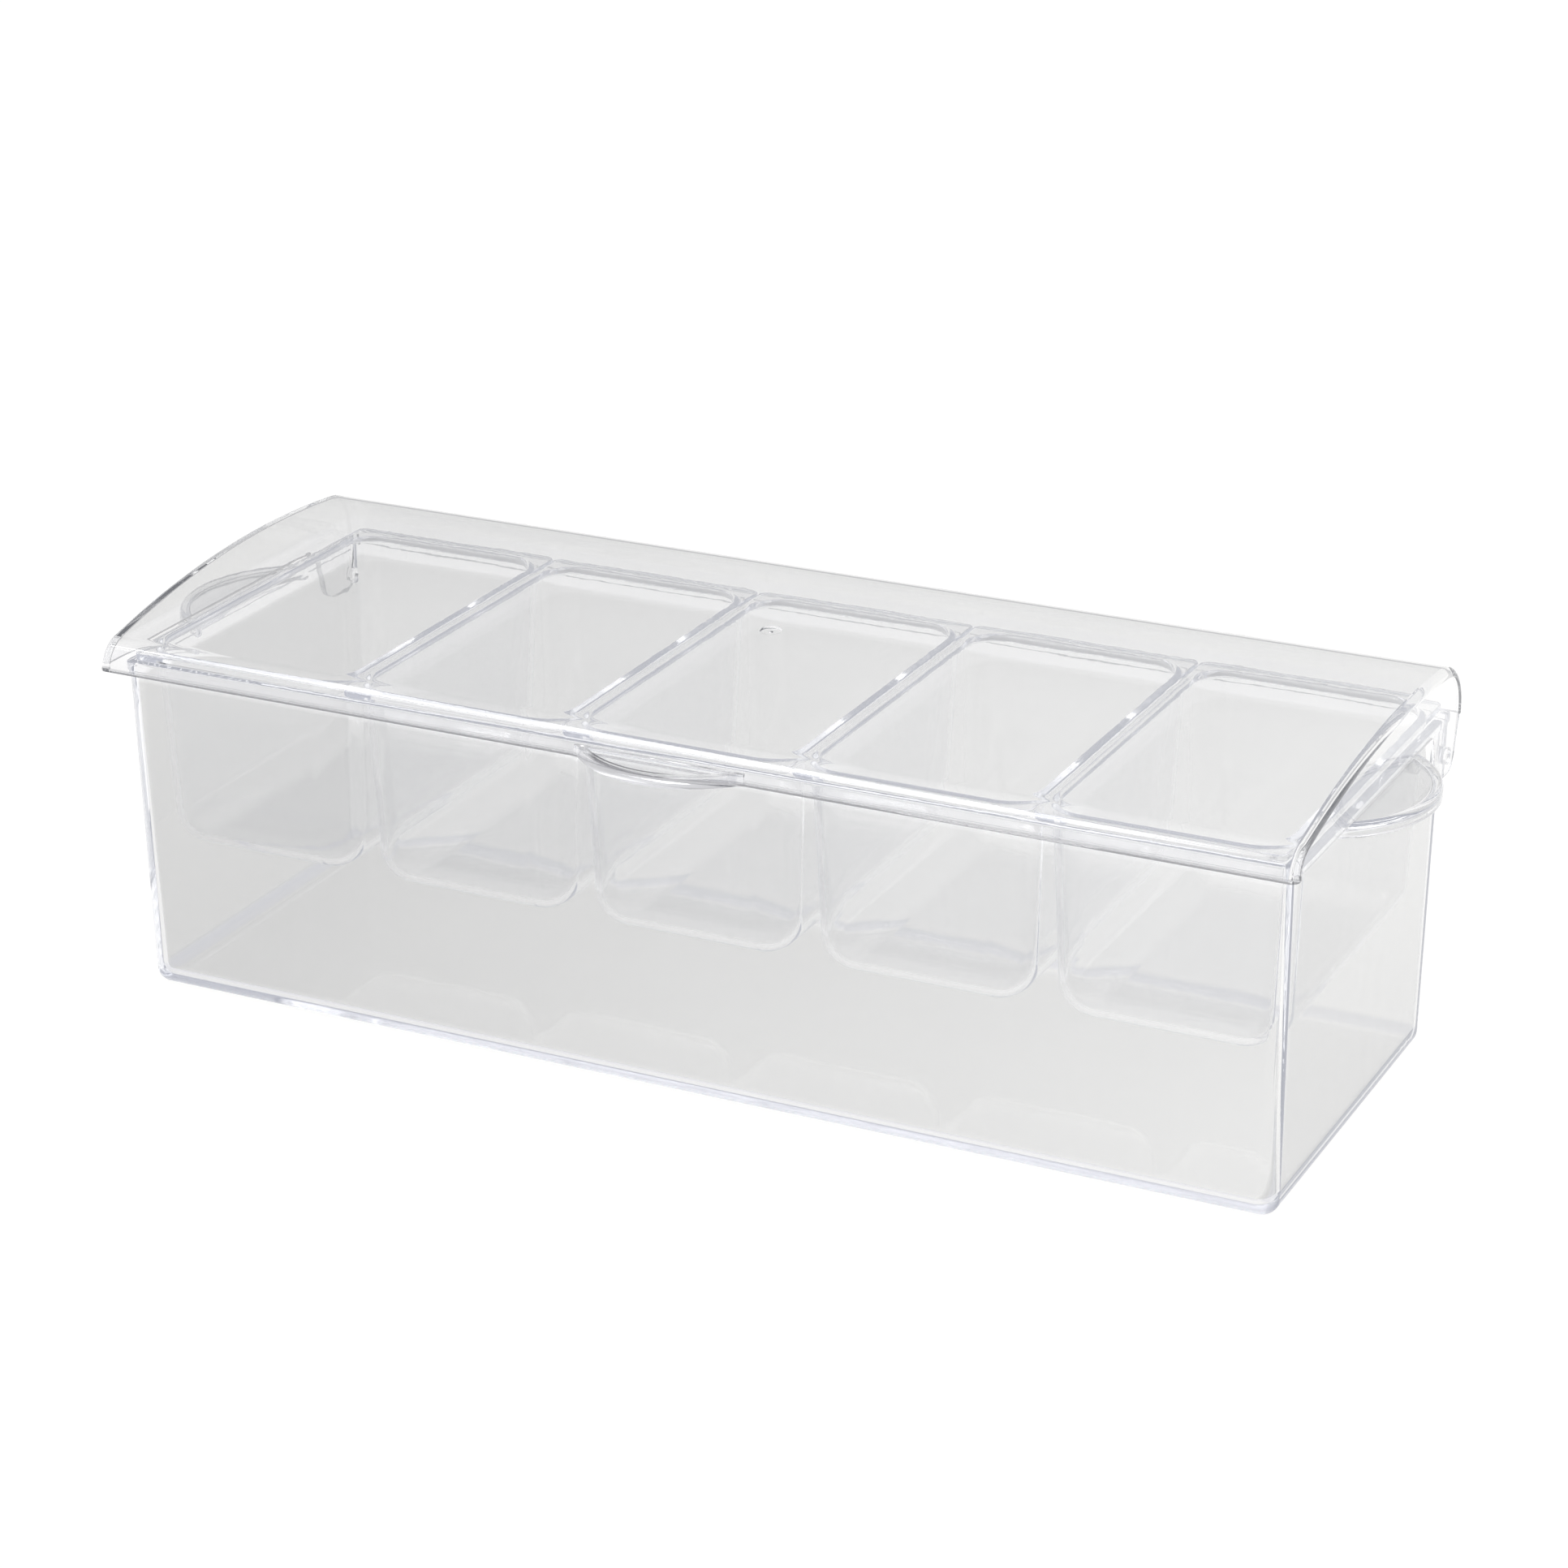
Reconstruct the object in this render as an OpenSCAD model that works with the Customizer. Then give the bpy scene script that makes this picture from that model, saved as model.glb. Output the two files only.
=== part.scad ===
// Condiment caddy: a clear tray with two carrying ledges, five lift-out inserts that hang
// on its rim, and one arched lid that turns on moulded pins at the back.
// Millimetres, +Z up, front towards -Y. The origin is the middle of the tray's underside.

/* [Tray] */
// Outer length of the tray at its foot
tray_l = 380; // [330:5:430]
// Outer width of the tray at its foot
tray_w = 135; // [125:0.5:145]
// Height of the rim above the table
tray_h = 110; // [95:1:125]
// Lean of each wall, from the foot out to the rim
tray_lean = 1; // [0.8:0.1:2.5]
// Thickness of the tray's walls
tray_wall = 2.6; // [2.2:0.1:3]
// Thickness of the tray's floor
tray_floor = 3; // [2:0.1:4]
// Radius of the upright corners at the rim
tray_corner_r = 2.7; // [2.6:0.1:5]
// Radius between the walls and the floor, outside
tray_foot_r = 5.5; // [3:0.1:7]
// Height of the bead round the rim
bead_h = 3; // [2:0.1:5]
// How far the bead stands out from the wall
bead_out = 0.4; // [0.3:0.1:0.8]

/* [Handles] */
// How far each carrying ledge stands out from the tray's foot
handle_reach = 20.5; // [16:0.1:30]
// Radius of the half-moon ledge
handle_r = 38.2; // [32:0.1:42]
// Depth of the ledge's turned-down edge
handle_lip_h = 4.8; // [4.5:0.1:10]
// Thickness of the ledge and of its turned-down edge
handle_t = 2.8; // [2:0.1:3.5]
// Radius on the ledge's top outer edge
handle_edge_r = 1.6; // [0.5:0.1:1.9]

/* [Inserts] */
// Depth of an insert, from the top of its flange to its underside
insert_depth = 66; // [50:1:75]
// Thickness of an insert's walls and floor
insert_wall = 2; // [1.6:0.1:2.4]
// Width of the insert's mouth rim, seen from above, at its sides
insert_side_rim = 3.2; // [3:0.1:4.5]
// Width of the insert's mouth rim at its front and back
insert_end_rim = 5.9; // [5.4:0.1:9]
// Narrowing of each insert wall, from the mouth down to the floor
insert_lean = 2; // [1:0.1:3]
// Radius inside the insert's upright corners
insert_corner_r = 10; // [7:0.5:14]
// Thickness of the insert's flange
flange_t = 2.2; // [1.6:0.1:2.4]
// Radius of the flange's corners
flange_corner_r = 3; // [1:0.1:5]
// Distance of a flange's front and back edges inside the rim's outer faces
flange_set = 1; // [0.8:0.1:1.3]
// Distance of the row of inserts inside the rim's outer end faces
row_set = 2; // [1.5:0.1:4]
// Width and depth of the bevel round the insert's mouth
mouth_bevel = 1.2; // [0.6:0.1:1.4]

/* [Lid] */
// Thickness of the lid's roof and end walls
lid_wall = 2.5; // [2.2:0.1:2.8]
// Height of the crown above the tray's rim
lid_rise = 19.1; // [17.5:0.1:24]
// Radius of the arched roof
crown_r = 380; // [330:10:440]
// How far the top of the arch lies behind the tray's middle
crown_back = 20; // [10:0.5:24]
// Radius of the roof's front shoulder
front_shoulder_r = 11; // [10:0.1:13]
// Radius of the roof's back shoulder
back_shoulder_r = 16.4; // [15:0.1:18]
// How far the lid's front stands out past the tray's rim
front_over = 8.6; // [6.5:0.1:9.5]
// How far the lid's back stands out past the tray's rim
back_over = 3.5; // [3.4:0.1:5.5]
// Rounding of the edges between the roof and the end walls
lid_edge_r = 2.5; // [1.5:0.1:4]
// How far the front and back lips hang below the rim
lip_drop = 1.1; // [0.5:0.1:2]
// Half the width of the thumb tab
tab_half_w = 26.5; // [18:0.5:34]
// How far the thumb tab stands out from the lip
tab_reach = 11.7; // [7:0.1:14]
// Thickness of the thumb tab
tab_t = 3.6; // [3:0.1:4.5]
// Depth of the hollow in the thumb tab's top
tab_dish = 1.3; // [0.6:0.1:1.8]

/* [Hinge] */
// Radius of the lid's hinge pins
pin_r = 2.7; // [2:0.1:3]
// Distance of the hinge line in front of the rim's back face
hinge_inset = 7.3; // [7:0.1:9]
// Depth of the hinge line below the rim
hinge_drop = 12; // [10.5:0.1:16]
// Radius of the two rounded lower corners of each hinge ear
ear_r = 5.7; // [4.5:0.1:7]
// Distance between the middles of those two corners
ear_low_w = 8; // [4:0.5:12]
// Width of an ear where it leaves the end wall
ear_top_w = 27; // [24:0.5:32]

/* [Clearances] */
// Play round a hinge pin in its slot
pin_play = 0.05; // [0.02:0.01:0.1]
// Gap under the flanges, and between the closed lid and the ledges it rests on
seat_gap = 0.3; // [0.2:0.05:0.5]
// Gap between the tray's end walls and the lid's end walls
end_gap = 2; // [1.2:0.1:2.5]
// Gap between neighbouring flanges
flange_gap = 0.6; // [0.4:0.1:1.2]

/* [Hidden] */
insert_count = 5;
thin = 0.01;
through = 1;
cut_down = 8;
clear_tint = [0.84, 0.85, 0.87, 0.45];
lid_tint = [0.88, 0.89, 0.90, 0.40];
insert_tint = [0.90, 0.90, 0.92, 0.50];

rim_l = tray_l + 2 * tray_lean;
rim_w = tray_w + 2 * tray_lean;

handle_root_share = 0.6;
handle_centre_x = tray_l / 2 + handle_reach - handle_r;
handle_root_x = rim_l / 2 - handle_root_share * tray_wall;

insert_pitch = (rim_l - 2 * row_set) / insert_count;
flange_l = insert_pitch - flange_gap;
flange_w = rim_w - 2 * flange_set;
flange_low = tray_h + seat_gap;
flange_top = flange_low + flange_t;
insert_low = flange_top - insert_depth;
mouth_l = flange_l - 2 * insert_side_rim;
mouth_w = flange_w - 2 * insert_end_rim;

lid_half_l = rim_l / 2 + end_gap + lid_wall;
lid_front = -rim_w / 2 - front_over;
lid_back = rim_w / 2 + back_over;
lip_low = tray_h - lip_drop;
end_wall_low = tray_h + seat_gap;
crown_top = tray_h + lid_rise;
crown_z = crown_top - crown_r;
front_y = lid_front + front_shoulder_r;
back_y = lid_back - back_shoulder_r;
front_z = crown_z + tangent_height(crown_r - front_shoulder_r, front_y - crown_back);
back_z = crown_z + tangent_height(crown_r - back_shoulder_r, back_y - crown_back);
front_angle = atan2(front_z - crown_z, front_y - crown_back);
back_angle = atan2(back_z - crown_z, back_y - crown_back);

tab_r = (tab_half_w * tab_half_w + tab_reach * tab_reach) / (2 * tab_reach);
tab_root_r = 3;
tab_rim = 2.4;
tab_root_share = 0.6;
gate_r = 3.4;
gate_set = 2.5;
gate_depth = 0.6;
gate_nub_r = 0.9;
gate_nub_h = 0.4;
gate_z = crown_z + tangent_height(crown_r, gate_set + crown_back) - gate_depth;
pin_set = 0.2;
slot_margin = 3;
inner_corner_less = 2;
inner_foot_less = 1;

hinge_y = rim_w / 2 - hinge_inset;
hinge_z = tray_h - hinge_drop;
slot_r = pin_r + pin_play;
ear_rise = 0.3;
ear_forward = 1;
ear_z = hinge_z + ear_rise;
ear_y = hinge_y - ear_forward;
pin_inner_x = rim_l / 2 - tray_wall + pin_set;

// Height of a point on a circle of this radius, at this distance from its middle.
function tangent_height(radius, across) = sqrt(radius * radius - across * across);

// Points along an arc, from one angle to another.
function arc(y, z, radius, from, to, steps) = [
    for (i = [0:steps])
        let (a = from + (to - from) * i / steps)
        [y + radius * cos(a), z + radius * sin(a)]
];

// A rectangle with round corners.
module round_rect(l, w, r) {
    offset(r = r, $fn = 32)
        square([l - 2 * r, w - 2 * r], center = true);
}

// The lower half of a ball, with a true pole.
module half_ball(r) {
    rotate_extrude($fn = 32)
        intersection() {
            circle(r, $fn = 32);
            translate([0, -r])
                square(r);
        }
}

// A tub that widens from a rounded foot to its top outline.
module tub(foot_l, foot_w, top_l, top_w, h, foot_r, corner_r) {
    hull() {
        for (sx = [-1, 1])
            for (sy = [-1, 1])
                translate([sx * (foot_l / 2 - foot_r), sy * (foot_w / 2 - foot_r), foot_r])
                    half_ball(foot_r);
        translate([0, 0, h - thin])
            linear_extrude(thin)
                round_rect(top_l, top_w, corner_r);
    }
}

// One half-moon carrying ledge, open below behind its turned-down edge.
module handle() {
    intersection() {
        translate([handle_centre_x, 0, tray_h])
            rotate_extrude($fn = 128)
                union() {
                    translate([0, -handle_t])
                        square([handle_r - handle_edge_r, handle_t]);
                    translate([handle_r - handle_t, -handle_lip_h])
                        square([handle_t, handle_lip_h - handle_edge_r]);
                    translate([handle_r - handle_edge_r, -handle_edge_r])
                        circle(handle_edge_r, $fn = 32);
                    translate([handle_r - handle_t, -handle_t])
                        square([handle_t - handle_edge_r, handle_t]);
                }
        translate([handle_root_x, -handle_r, tray_h - handle_lip_h - through])
            cube([handle_r, 2 * handle_r, handle_lip_h + 2 * through]);
    }
}

// The open-topped slot that takes a hinge pin, cut through one end wall.
module hinge_slot() {
    translate([pin_inner_x - slot_margin, hinge_y, hinge_z])
        rotate([0, 90, 0])
            cylinder(h = lid_half_l - pin_inner_x, r = slot_r, $fn = 64);
    translate([pin_inner_x - slot_margin, hinge_y - slot_r, hinge_z])
        cube([lid_half_l - pin_inner_x, 2 * slot_r, hinge_drop + through]);
}

module tray() {
    color(clear_tint)
        difference() {
            union() {
                tub(tray_l, tray_w, rim_l, rim_w, tray_h, tray_foot_r, tray_corner_r);
                translate([0, 0, tray_h - bead_h])
                    linear_extrude(bead_h)
                        round_rect(rim_l + 2 * bead_out, rim_w + 2 * bead_out, tray_corner_r + bead_out);
                handle();
                mirror([1, 0, 0])
                    handle();
            }
            translate([0, 0, tray_floor])
                tub(tray_l - 2 * tray_wall, tray_w - 2 * tray_wall,
                    rim_l - 2 * tray_wall, rim_w - 2 * tray_wall,
                    tray_h - tray_floor + thin, tray_foot_r - inner_foot_less, tray_corner_r - inner_corner_less);
            hinge_slot();
            mirror([1, 0, 0])
                hinge_slot();
        }
}

// An insert: a deep cup that hangs by its flange on the tray's front and back rims.
module insert(number) {
    outer_r = insert_corner_r + insert_wall;
    outer_l = mouth_l + 2 * insert_wall;
    outer_w = mouth_w + 2 * insert_wall;
    color(insert_tint)
        translate([(number - (insert_count + 1) / 2) * insert_pitch, 0, 0])
            difference() {
                union() {
                    translate([0, 0, insert_low])
                        tub(outer_l - 2 * insert_lean, outer_w - 2 * insert_lean,
                            outer_l, outer_w, insert_depth - flange_t / 2, outer_r, outer_r);
                    translate([0, 0, flange_low])
                        linear_extrude(flange_t)
                            round_rect(flange_l, flange_w, flange_corner_r);
                }
                translate([0, 0, insert_low + insert_wall])
                    tub(mouth_l - 2 * insert_lean, mouth_w - 2 * insert_lean,
                        mouth_l, mouth_w, insert_depth - insert_wall + thin, insert_corner_r, insert_corner_r);
                hull() {
                    translate([0, 0, flange_top - mouth_bevel])
                        linear_extrude(thin)
                            round_rect(mouth_l, mouth_w, insert_corner_r);
                    translate([0, 0, flange_top])
                        linear_extrude(thin)
                            round_rect(mouth_l + 2 * mouth_bevel, mouth_w + 2 * mouth_bevel,
                                insert_corner_r + mouth_bevel);
                }
            }
}

// The roof's outline from front to back, drawn inwards by inset and carried down past the lips.
module lid_outline(inset) {
    low = lip_low - cut_down;
    polygon(concat(
        [[lid_front + inset, low]],
        arc(front_y, front_z, front_shoulder_r - inset, 180, front_angle, 8),
        arc(crown_back, crown_z, crown_r - inset, front_angle, back_angle, 20),
        arc(back_y, back_z, back_shoulder_r - inset, back_angle, 0, 8),
        [[lid_back - inset, low]]
    ));
}

// A solid along X with that outline.
module lid_bar(half_l, inset) {
    translate([-half_l, 0, 0])
        rotate([90, 0, 90])
            linear_extrude(2 * half_l)
                lid_outline(inset);
}

// The lid's outer form, its end edges rounded in steps.
module lid_form() {
    steps = 5;
    hull()
        for (i = [0:steps])
            lid_bar(lid_half_l - lid_edge_r * (1 - sin(90 * i / steps)), lid_edge_r * (1 - cos(90 * i / steps)));
}

// The crescent that a thumb lifts, with its roots rounded into the lip.
module thumb_tab() {
    middle_y = lid_front - tab_reach + tab_r;
    root_y = lid_front + tab_root_share * lid_wall;
    difference() {
        translate([0, 0, lip_low])
            linear_extrude(tab_t)
                intersection() {
                    offset(r = -tab_root_r, $fn = 48)
                        offset(delta = tab_root_r)
                            union() {
                                translate([0, middle_y])
                                    circle(tab_r, $fn = 128);
                                translate([-tab_half_w - tab_root_r, lid_front])
                                    square([2 * (tab_half_w + tab_root_r), tab_r]);
                            }
                    translate([-tab_half_w - tab_root_r, root_y - tab_r])
                        square([2 * (tab_half_w + tab_root_r), tab_r]);
                }
        translate([0, 0, lip_low + tab_t - tab_dish])
            linear_extrude(tab_dish + through)
                intersection() {
                    translate([0, middle_y])
                        circle(tab_r - tab_rim, $fn = 128);
                    translate([-tab_r, lid_front - tab_r])
                        square([2 * tab_r, tab_r]);
                }
    }
}

// The shallow round mark that the mould leaves on the crown, with a nub in its middle.
module gate_mark() {
    translate([0, -gate_set, gate_z])
        difference() {
            cylinder(h = gate_depth + through, r = gate_r, $fn = 48);
            cylinder(h = gate_nub_h, r = gate_nub_r, $fn = 32);
        }
}

// One ear, hanging from an end wall, with the pin that turns in the tray's slot.
module ear() {
    translate([lid_half_l - lid_wall, 0, 0])
        rotate([90, 0, 90])
            linear_extrude(lid_wall)
                hull() {
                    for (forward = [0, ear_low_w])
                        translate([ear_y - forward, ear_z])
                            circle(ear_r, $fn = 64);
                    translate([lid_back - lid_wall - ear_top_w, end_wall_low])
                        square([ear_top_w, lid_wall]);
                }
    translate([pin_inner_x, hinge_y, hinge_z])
        rotate([0, 90, 0])
            cylinder(h = lid_half_l - lid_wall / 2 - pin_inner_x, r = pin_r, $fn = 64);
}

module lid() {
    color(lid_tint)
        union() {
            difference() {
                lid_form();
                lid_bar(lid_half_l - lid_wall, lid_wall);
                translate([-lid_half_l, lid_front, lip_low - lid_rise])
                    cube([2 * lid_half_l, lid_back - lid_front, lid_rise]);
                for (side = [-1, 1])
                    translate([side * lid_half_l, (lid_front + lid_back) / 2, end_wall_low - lid_rise / 2])
                        cube([2 * lid_wall, lid_back - lid_front - 2 * lid_wall, lid_rise], center = true);
                gate_mark();
            }
            thumb_tab();
            ear();
            mirror([1, 0, 0])
                ear();
        }
}

tray();
lid();
insert(1);  // insert_1
insert(2);  // insert_2
insert(3);  // insert_3
insert(4);  // insert_4
insert(5);  // insert_5
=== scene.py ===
"""A clear plastic condiment caddy: a deep tray with two carrying ledges, five cups that hang in
it by their flanges, and one arched lid that turns on pins at the back.

Shapes are worked out in millimetres and brought to metres when a piece is finished."""

from math import acos, atan2, cos, pi, radians, sin, sqrt

import bmesh
import bpy
from mathutils import Matrix, Vector


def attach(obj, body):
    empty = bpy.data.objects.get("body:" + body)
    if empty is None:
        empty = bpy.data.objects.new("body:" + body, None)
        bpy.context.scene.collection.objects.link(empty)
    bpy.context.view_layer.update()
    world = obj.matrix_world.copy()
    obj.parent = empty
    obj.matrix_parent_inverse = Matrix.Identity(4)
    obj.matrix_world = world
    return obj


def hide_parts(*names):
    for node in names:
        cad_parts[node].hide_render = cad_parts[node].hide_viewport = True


MM = 0.001

# Tray
TRAY_L, TRAY_W, TRAY_H = 380.0, 135.0, 110.0
TRAY_LEAN = 1.0
TRAY_WALL, TRAY_FLOOR = 2.6, 3.0
TRAY_CORNER_R, TRAY_FOOT_R = 2.7, 5.5
BEAD_H, BEAD_OUT = 3.0, 0.4
RIM_L, RIM_W = TRAY_L + 2 * TRAY_LEAN, TRAY_W + 2 * TRAY_LEAN

# Carrying ledges
LEDGE_REACH, LEDGE_R = 20.5, 38.2
LEDGE_LIP_H, LEDGE_T, LEDGE_EDGE_R = 4.8, 2.8, 1.6

# Cups
CUP_COUNT = 5
CUP_DEPTH, CUP_WALL, CUP_LEAN = 66.0, 2.0, 2.0
CUP_CORNER_R = 10.0
SIDE_RIM, END_RIM = 3.2, 5.9
FLANGE_T, FLANGE_CORNER_R = 2.2, 3.0
FLANGE_GAP, FLANGE_SET, ROW_SET = 0.6, 1.0, 2.0
MOUTH_ROUND = 1.2
SEAT_GAP = 0.3
CUP_PITCH = (RIM_L - 2 * ROW_SET) / CUP_COUNT
FLANGE_L, FLANGE_W = CUP_PITCH - FLANGE_GAP, RIM_W - 2 * FLANGE_SET
MOUTH_L, MOUTH_W = FLANGE_L - 2 * SIDE_RIM, FLANGE_W - 2 * END_RIM
FLANGE_LOW = TRAY_H + SEAT_GAP
FLANGE_TOP = FLANGE_LOW + FLANGE_T
CUP_LOW = FLANGE_TOP - CUP_DEPTH

# Lid
LID_WALL, LID_RISE, LID_EDGE_R = 2.5, 19.1, 2.5
CROWN_R, CROWN_BACK = 380.0, 20.0
FRONT_R, BACK_R = 11.0, 16.4
FRONT_OVER, BACK_OVER = 8.6, 3.5
LIP_DROP, END_GAP, NOTCH_SET = 1.1, 2.0, 1.2
LID_HALF_L = RIM_L / 2 + END_GAP + LID_WALL
LID_FRONT, LID_BACK = -RIM_W / 2 - FRONT_OVER, RIM_W / 2 + BACK_OVER
LIP_LOW, END_LOW = TRAY_H - LIP_DROP, TRAY_H + SEAT_GAP
CROWN_TOP = TRAY_H + LID_RISE
CROWN_Z = CROWN_TOP - CROWN_R
FRONT_Y, BACK_Y = LID_FRONT + FRONT_R, LID_BACK - BACK_R
FRONT_Z = CROWN_Z + sqrt((CROWN_R - FRONT_R) ** 2 - (FRONT_Y - CROWN_BACK) ** 2)
BACK_Z = CROWN_Z + sqrt((CROWN_R - BACK_R) ** 2 - (BACK_Y - CROWN_BACK) ** 2)
FRONT_TURN = pi - atan2(FRONT_Z - CROWN_Z, FRONT_Y - CROWN_BACK)
BACK_TURN = atan2(BACK_Z - CROWN_Z, BACK_Y - CROWN_BACK)

# Thumb tab
TAB_HALF_W, TAB_REACH, TAB_T, TAB_DISH = 26.5, 11.7, 3.6, 1.3
TAB_RIM, TAB_ROOT_R = 2.4, 3.0
TAB_R = (TAB_HALF_W ** 2 + TAB_REACH ** 2) / (2 * TAB_REACH)
TAB_MIDDLE_Y = LID_FRONT - TAB_REACH + TAB_R

# Round mark on the crown
GATE_R, GATE_SET, GATE_DEPTH = 3.4, 2.5, 0.6
GATE_NUB_R, GATE_NUB_H = 0.9, 0.4

# Hinge
PIN_R, PIN_PLAY, PIN_SET = 2.7, 0.05, 0.2
HINGE_Y, HINGE_Z = RIM_W / 2 - 7.3, TRAY_H - 12.0
PIN_INNER_X = RIM_L / 2 - TRAY_WALL + PIN_SET
SLOT_DEPTH, SLOT_OPEN = 8.0, 6.0
EAR_R, EAR_LOW_W, EAR_TOP_W = 5.7, 8.0, 27.0
EAR_Y, EAR_Z = HINGE_Y - 1.0, HINGE_Z + 0.3

# Keeps two faces that would lie in one plane just apart while pieces are joined
HAIR = 0.02
# How far a cutter reaches past what it cuts
CUT_PAST = 5.0
SHARP_EDGE = radians(38)
# How deep a ledge or tab is rooted in its wall, as a share of the wall
ROOT_SHARE = 0.6


# ---------------------------------------------------------------- shaping

def quarter(steps):
    """Angles from 0 to 90 degrees, for going round an edge."""
    return [radians(90 * i / steps) for i in range(steps + 1)]


def ring(bm, length, width, radius, z, corner_steps, filled=False):
    """A loop of edges round a rectangle with round corners, at height z."""
    known = set(bm.faces)
    place = Matrix.Translation((0, 0, z)) @ Matrix.Diagonal((length / 2, width / 2, 1, 1))
    made = bmesh.ops.create_grid(bm, x_segments=1, y_segments=1, size=1, matrix=place)
    bmesh.ops.bevel(
        bm, geom=made["verts"], offset=max(radius, 0.05), offset_type="OFFSET",
        affect="VERTICES", segments=corner_steps, profile=0.5, material=-1,
    )
    face = next(f for f in bm.faces if f not in known)
    edges = list(face.edges)
    if not filled:
        bmesh.ops.delete(bm, geom=[face], context="FACES_ONLY")
    return edges


def skin(bm, sections, corner_steps):
    """One closed skin over a row of round-cornered rectangles, its first and last filled in."""
    last = len(sections) - 1
    below = None
    for i, (length, width, radius, z) in enumerate(sections):
        above = ring(bm, length, width, radius, z, corner_steps, filled=i in (0, last))
        if below:
            bmesh.ops.bridge_loops(bm, edges=below + above)
        below = above
    bmesh.ops.recalc_face_normals(bm, faces=bm.faces)


def path_arc(bm, vert, y, z, turn, steps):
    """Carries a path on from vert along an arc about a line parallel to X, and gives its new end."""
    swept = bmesh.ops.spin(
        bm, geom=[vert], cent=(0, y, z), axis=(1, 0, 0), dvec=(0, 0, 0),
        angle=turn, steps=steps, use_merge=False, use_duplicate=False,
    )
    return next(g for g in swept["geom_last"] if isinstance(g, bmesh.types.BMVert))


def path_on(bm, vert, move):
    """Carries a path on from vert in a straight line, and gives its new end."""
    made = bmesh.ops.extrude_vert_indiv(bm, verts=[vert])
    bmesh.ops.translate(bm, verts=made["verts"], vec=move)
    return made["verts"][0]


def close_path(bm, first, last):
    """Joins a path's ends and fills it in."""
    bm.edges.new((last, first))
    made = bmesh.ops.contextual_create(bm, geom=list(bm.edges))
    return made["faces"][0]


def draw_out(bm, face, move):
    """Pulls a face out into a solid."""
    made = bmesh.ops.extrude_face_region(bm, geom=[face], use_keep_orig=True)
    moved = [g for g in made["geom"] if isinstance(g, bmesh.types.BMVert)]
    bmesh.ops.translate(bm, verts=moved, vec=move)
    bmesh.ops.recalc_face_normals(bm, faces=bm.faces)


def soften(bm, edges, radius, steps):
    """Rounds edges."""
    bmesh.ops.bevel(
        bm, geom=list(edges), offset=radius, offset_type="OFFSET", affect="EDGES",
        segments=steps, profile=0.5, material=-1, clamp_overlap=True,
    )


def to_object(bm, name):
    """Makes an object of a mesh drawn in millimetres."""
    bmesh.ops.scale(bm, vec=(MM, MM, MM), verts=bm.verts)
    mesh = bpy.data.meshes.new(name)
    bm.to_mesh(mesh)
    bm.free()
    obj = bpy.data.objects.new(name, mesh)
    bpy.context.scene.collection.objects.link(obj)
    return obj


def settle(obj):
    """Makes what the object's modifiers show its own mesh."""
    bpy.context.view_layer.update()
    depsgraph = bpy.context.evaluated_depsgraph_get()
    shaped = bpy.data.meshes.new_from_object(obj.evaluated_get(depsgraph))
    rough = obj.data
    obj.modifiers.clear()
    obj.data = shaped
    bpy.data.meshes.remove(rough)


def combine(obj, other, operation):
    """Joins other to obj, or cuts it out of obj."""
    step = obj.modifiers.new(operation.lower(), "BOOLEAN")
    step.operation = operation
    step.solver = "EXACT"
    step.object = other
    settle(obj)
    spent = other.data
    bpy.data.objects.remove(other)
    bpy.data.meshes.remove(spent)


def mirrored(bm):
    """Turns a mesh into its mirror image about the YZ plane."""
    bmesh.ops.scale(bm, vec=(-1, 1, 1), verts=bm.verts)
    bmesh.ops.reverse_faces(bm, faces=bm.faces)


def finish_piece(obj, body, node, finish):
    """Smooths a piece, gives it its finish, and sets it on its body in place of its plain solid."""
    obj.data.shade_smooth()
    obj.data.set_sharp_from_angle(angle=SHARP_EDGE)
    even = obj.modifiers.new("even_shading", "WEIGHTED_NORMAL")
    even.keep_sharp = True
    even.weight = 80
    obj.data.materials.clear()
    obj.data.materials.append(finish)
    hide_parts(node)
    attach(obj, body)


# ---------------------------------------------------------------- the tray

def tray_wall_at(z, inset):
    """Length, width and corner radius of the tray's outline at a height, drawn in by inset."""
    share = max(0.0, (z - TRAY_FOOT_R) / (TRAY_H - TRAY_FOOT_R))
    lean = TRAY_LEAN * share
    radius = TRAY_FOOT_R + (TRAY_CORNER_R - TRAY_FOOT_R) * share
    return TRAY_L + 2 * (lean - inset), TRAY_W + 2 * (lean - inset), max(radius - inset, 0.6)


def tray_shell():
    bm = bmesh.new()
    sections = []
    for a in quarter(8):
        inset = TRAY_FOOT_R * (1 - sin(a))
        sections.append((
            TRAY_L - 2 * inset, TRAY_W - 2 * inset, TRAY_FOOT_R - inset, TRAY_FOOT_R * (1 - cos(a)),
        ))
    bead_low = TRAY_H - BEAD_H
    for z, out in ((bead_low - 0.3, 0.0), (bead_low, 0.12), (bead_low + 0.3, BEAD_OUT)):
        length, width, radius = tray_wall_at(z, -out)
        sections.append((length, width, radius, z))
    edge = 0.7
    for a in quarter(4):
        length, width, radius = tray_wall_at(TRAY_H, edge * (1 - cos(a)) - BEAD_OUT)
        sections.append((length, width, radius, TRAY_H - edge * (1 - sin(a))))
    for a in quarter(4):
        length, width, radius = tray_wall_at(TRAY_H, TRAY_WALL - edge * (1 - sin(a)))
        sections.append((length, width, radius, TRAY_H - edge * (1 - cos(a))))
    inner_foot_r = TRAY_FOOT_R - 1
    for a in reversed(quarter(8)):
        inset = inner_foot_r * (1 - sin(a))
        sections.append((
            TRAY_L - 2 * (TRAY_WALL + inset), TRAY_W - 2 * (TRAY_WALL + inset),
            inner_foot_r - inset, TRAY_FLOOR + inner_foot_r * (1 - cos(a)),
        ))
    skin(bm, sections, 8)
    return to_object(bm, "tray_shell")


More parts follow.
